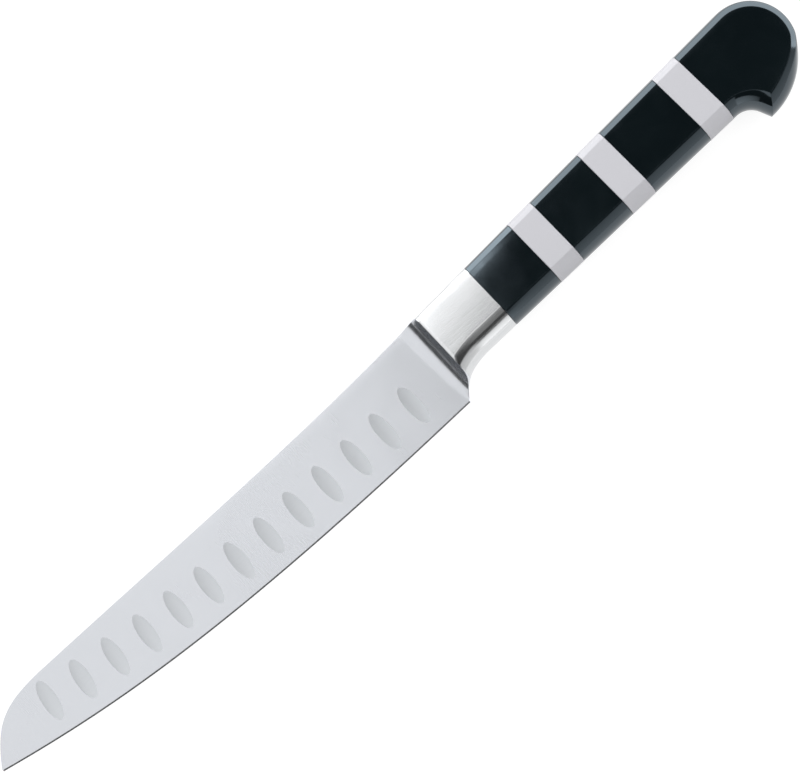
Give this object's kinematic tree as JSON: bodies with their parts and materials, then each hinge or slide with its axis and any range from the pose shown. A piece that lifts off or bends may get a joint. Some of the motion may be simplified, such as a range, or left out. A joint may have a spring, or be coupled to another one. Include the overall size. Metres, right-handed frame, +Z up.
{
  "type": "kitchen knife",
  "caption": "Slim kitchen knife: ground blade with oval hollows above the edge, half bolster, and a flat-sided black handle banded with steel ferrules and ending in a hooked pommel.",
  "frame": {"origin": "middle of the knife's outline, on the surface that it lies on", "axes": "+X from the tip to the butt, +Y from the cutting edge to the spine, +Z up out of the side that faces the viewer"},
  "size_m": [0.235, 0.0246, 0.012],
  "materials": {
    "ground_steel": "satin, ground across the blade",
    "brushed_band": "finely brushed",
    "plain_steel": "plain turned",
    "black_resin": "polished gloss"
  },
  "bodies": {
    "root": {"forged_blade": "ground_steel", "front_grip_segment": "black_resin", "front_ferrule": "brushed_band", "second_grip_segment": "black_resin", "middle_ferrule": "brushed_band", "third_grip_segment": "black_resin", "rear_ferrule": "brushed_band", "pommel": "black_resin", "tang_washer": "plain_steel", "tang_nut": "plain_steel"}
  },
  "joints": []
}
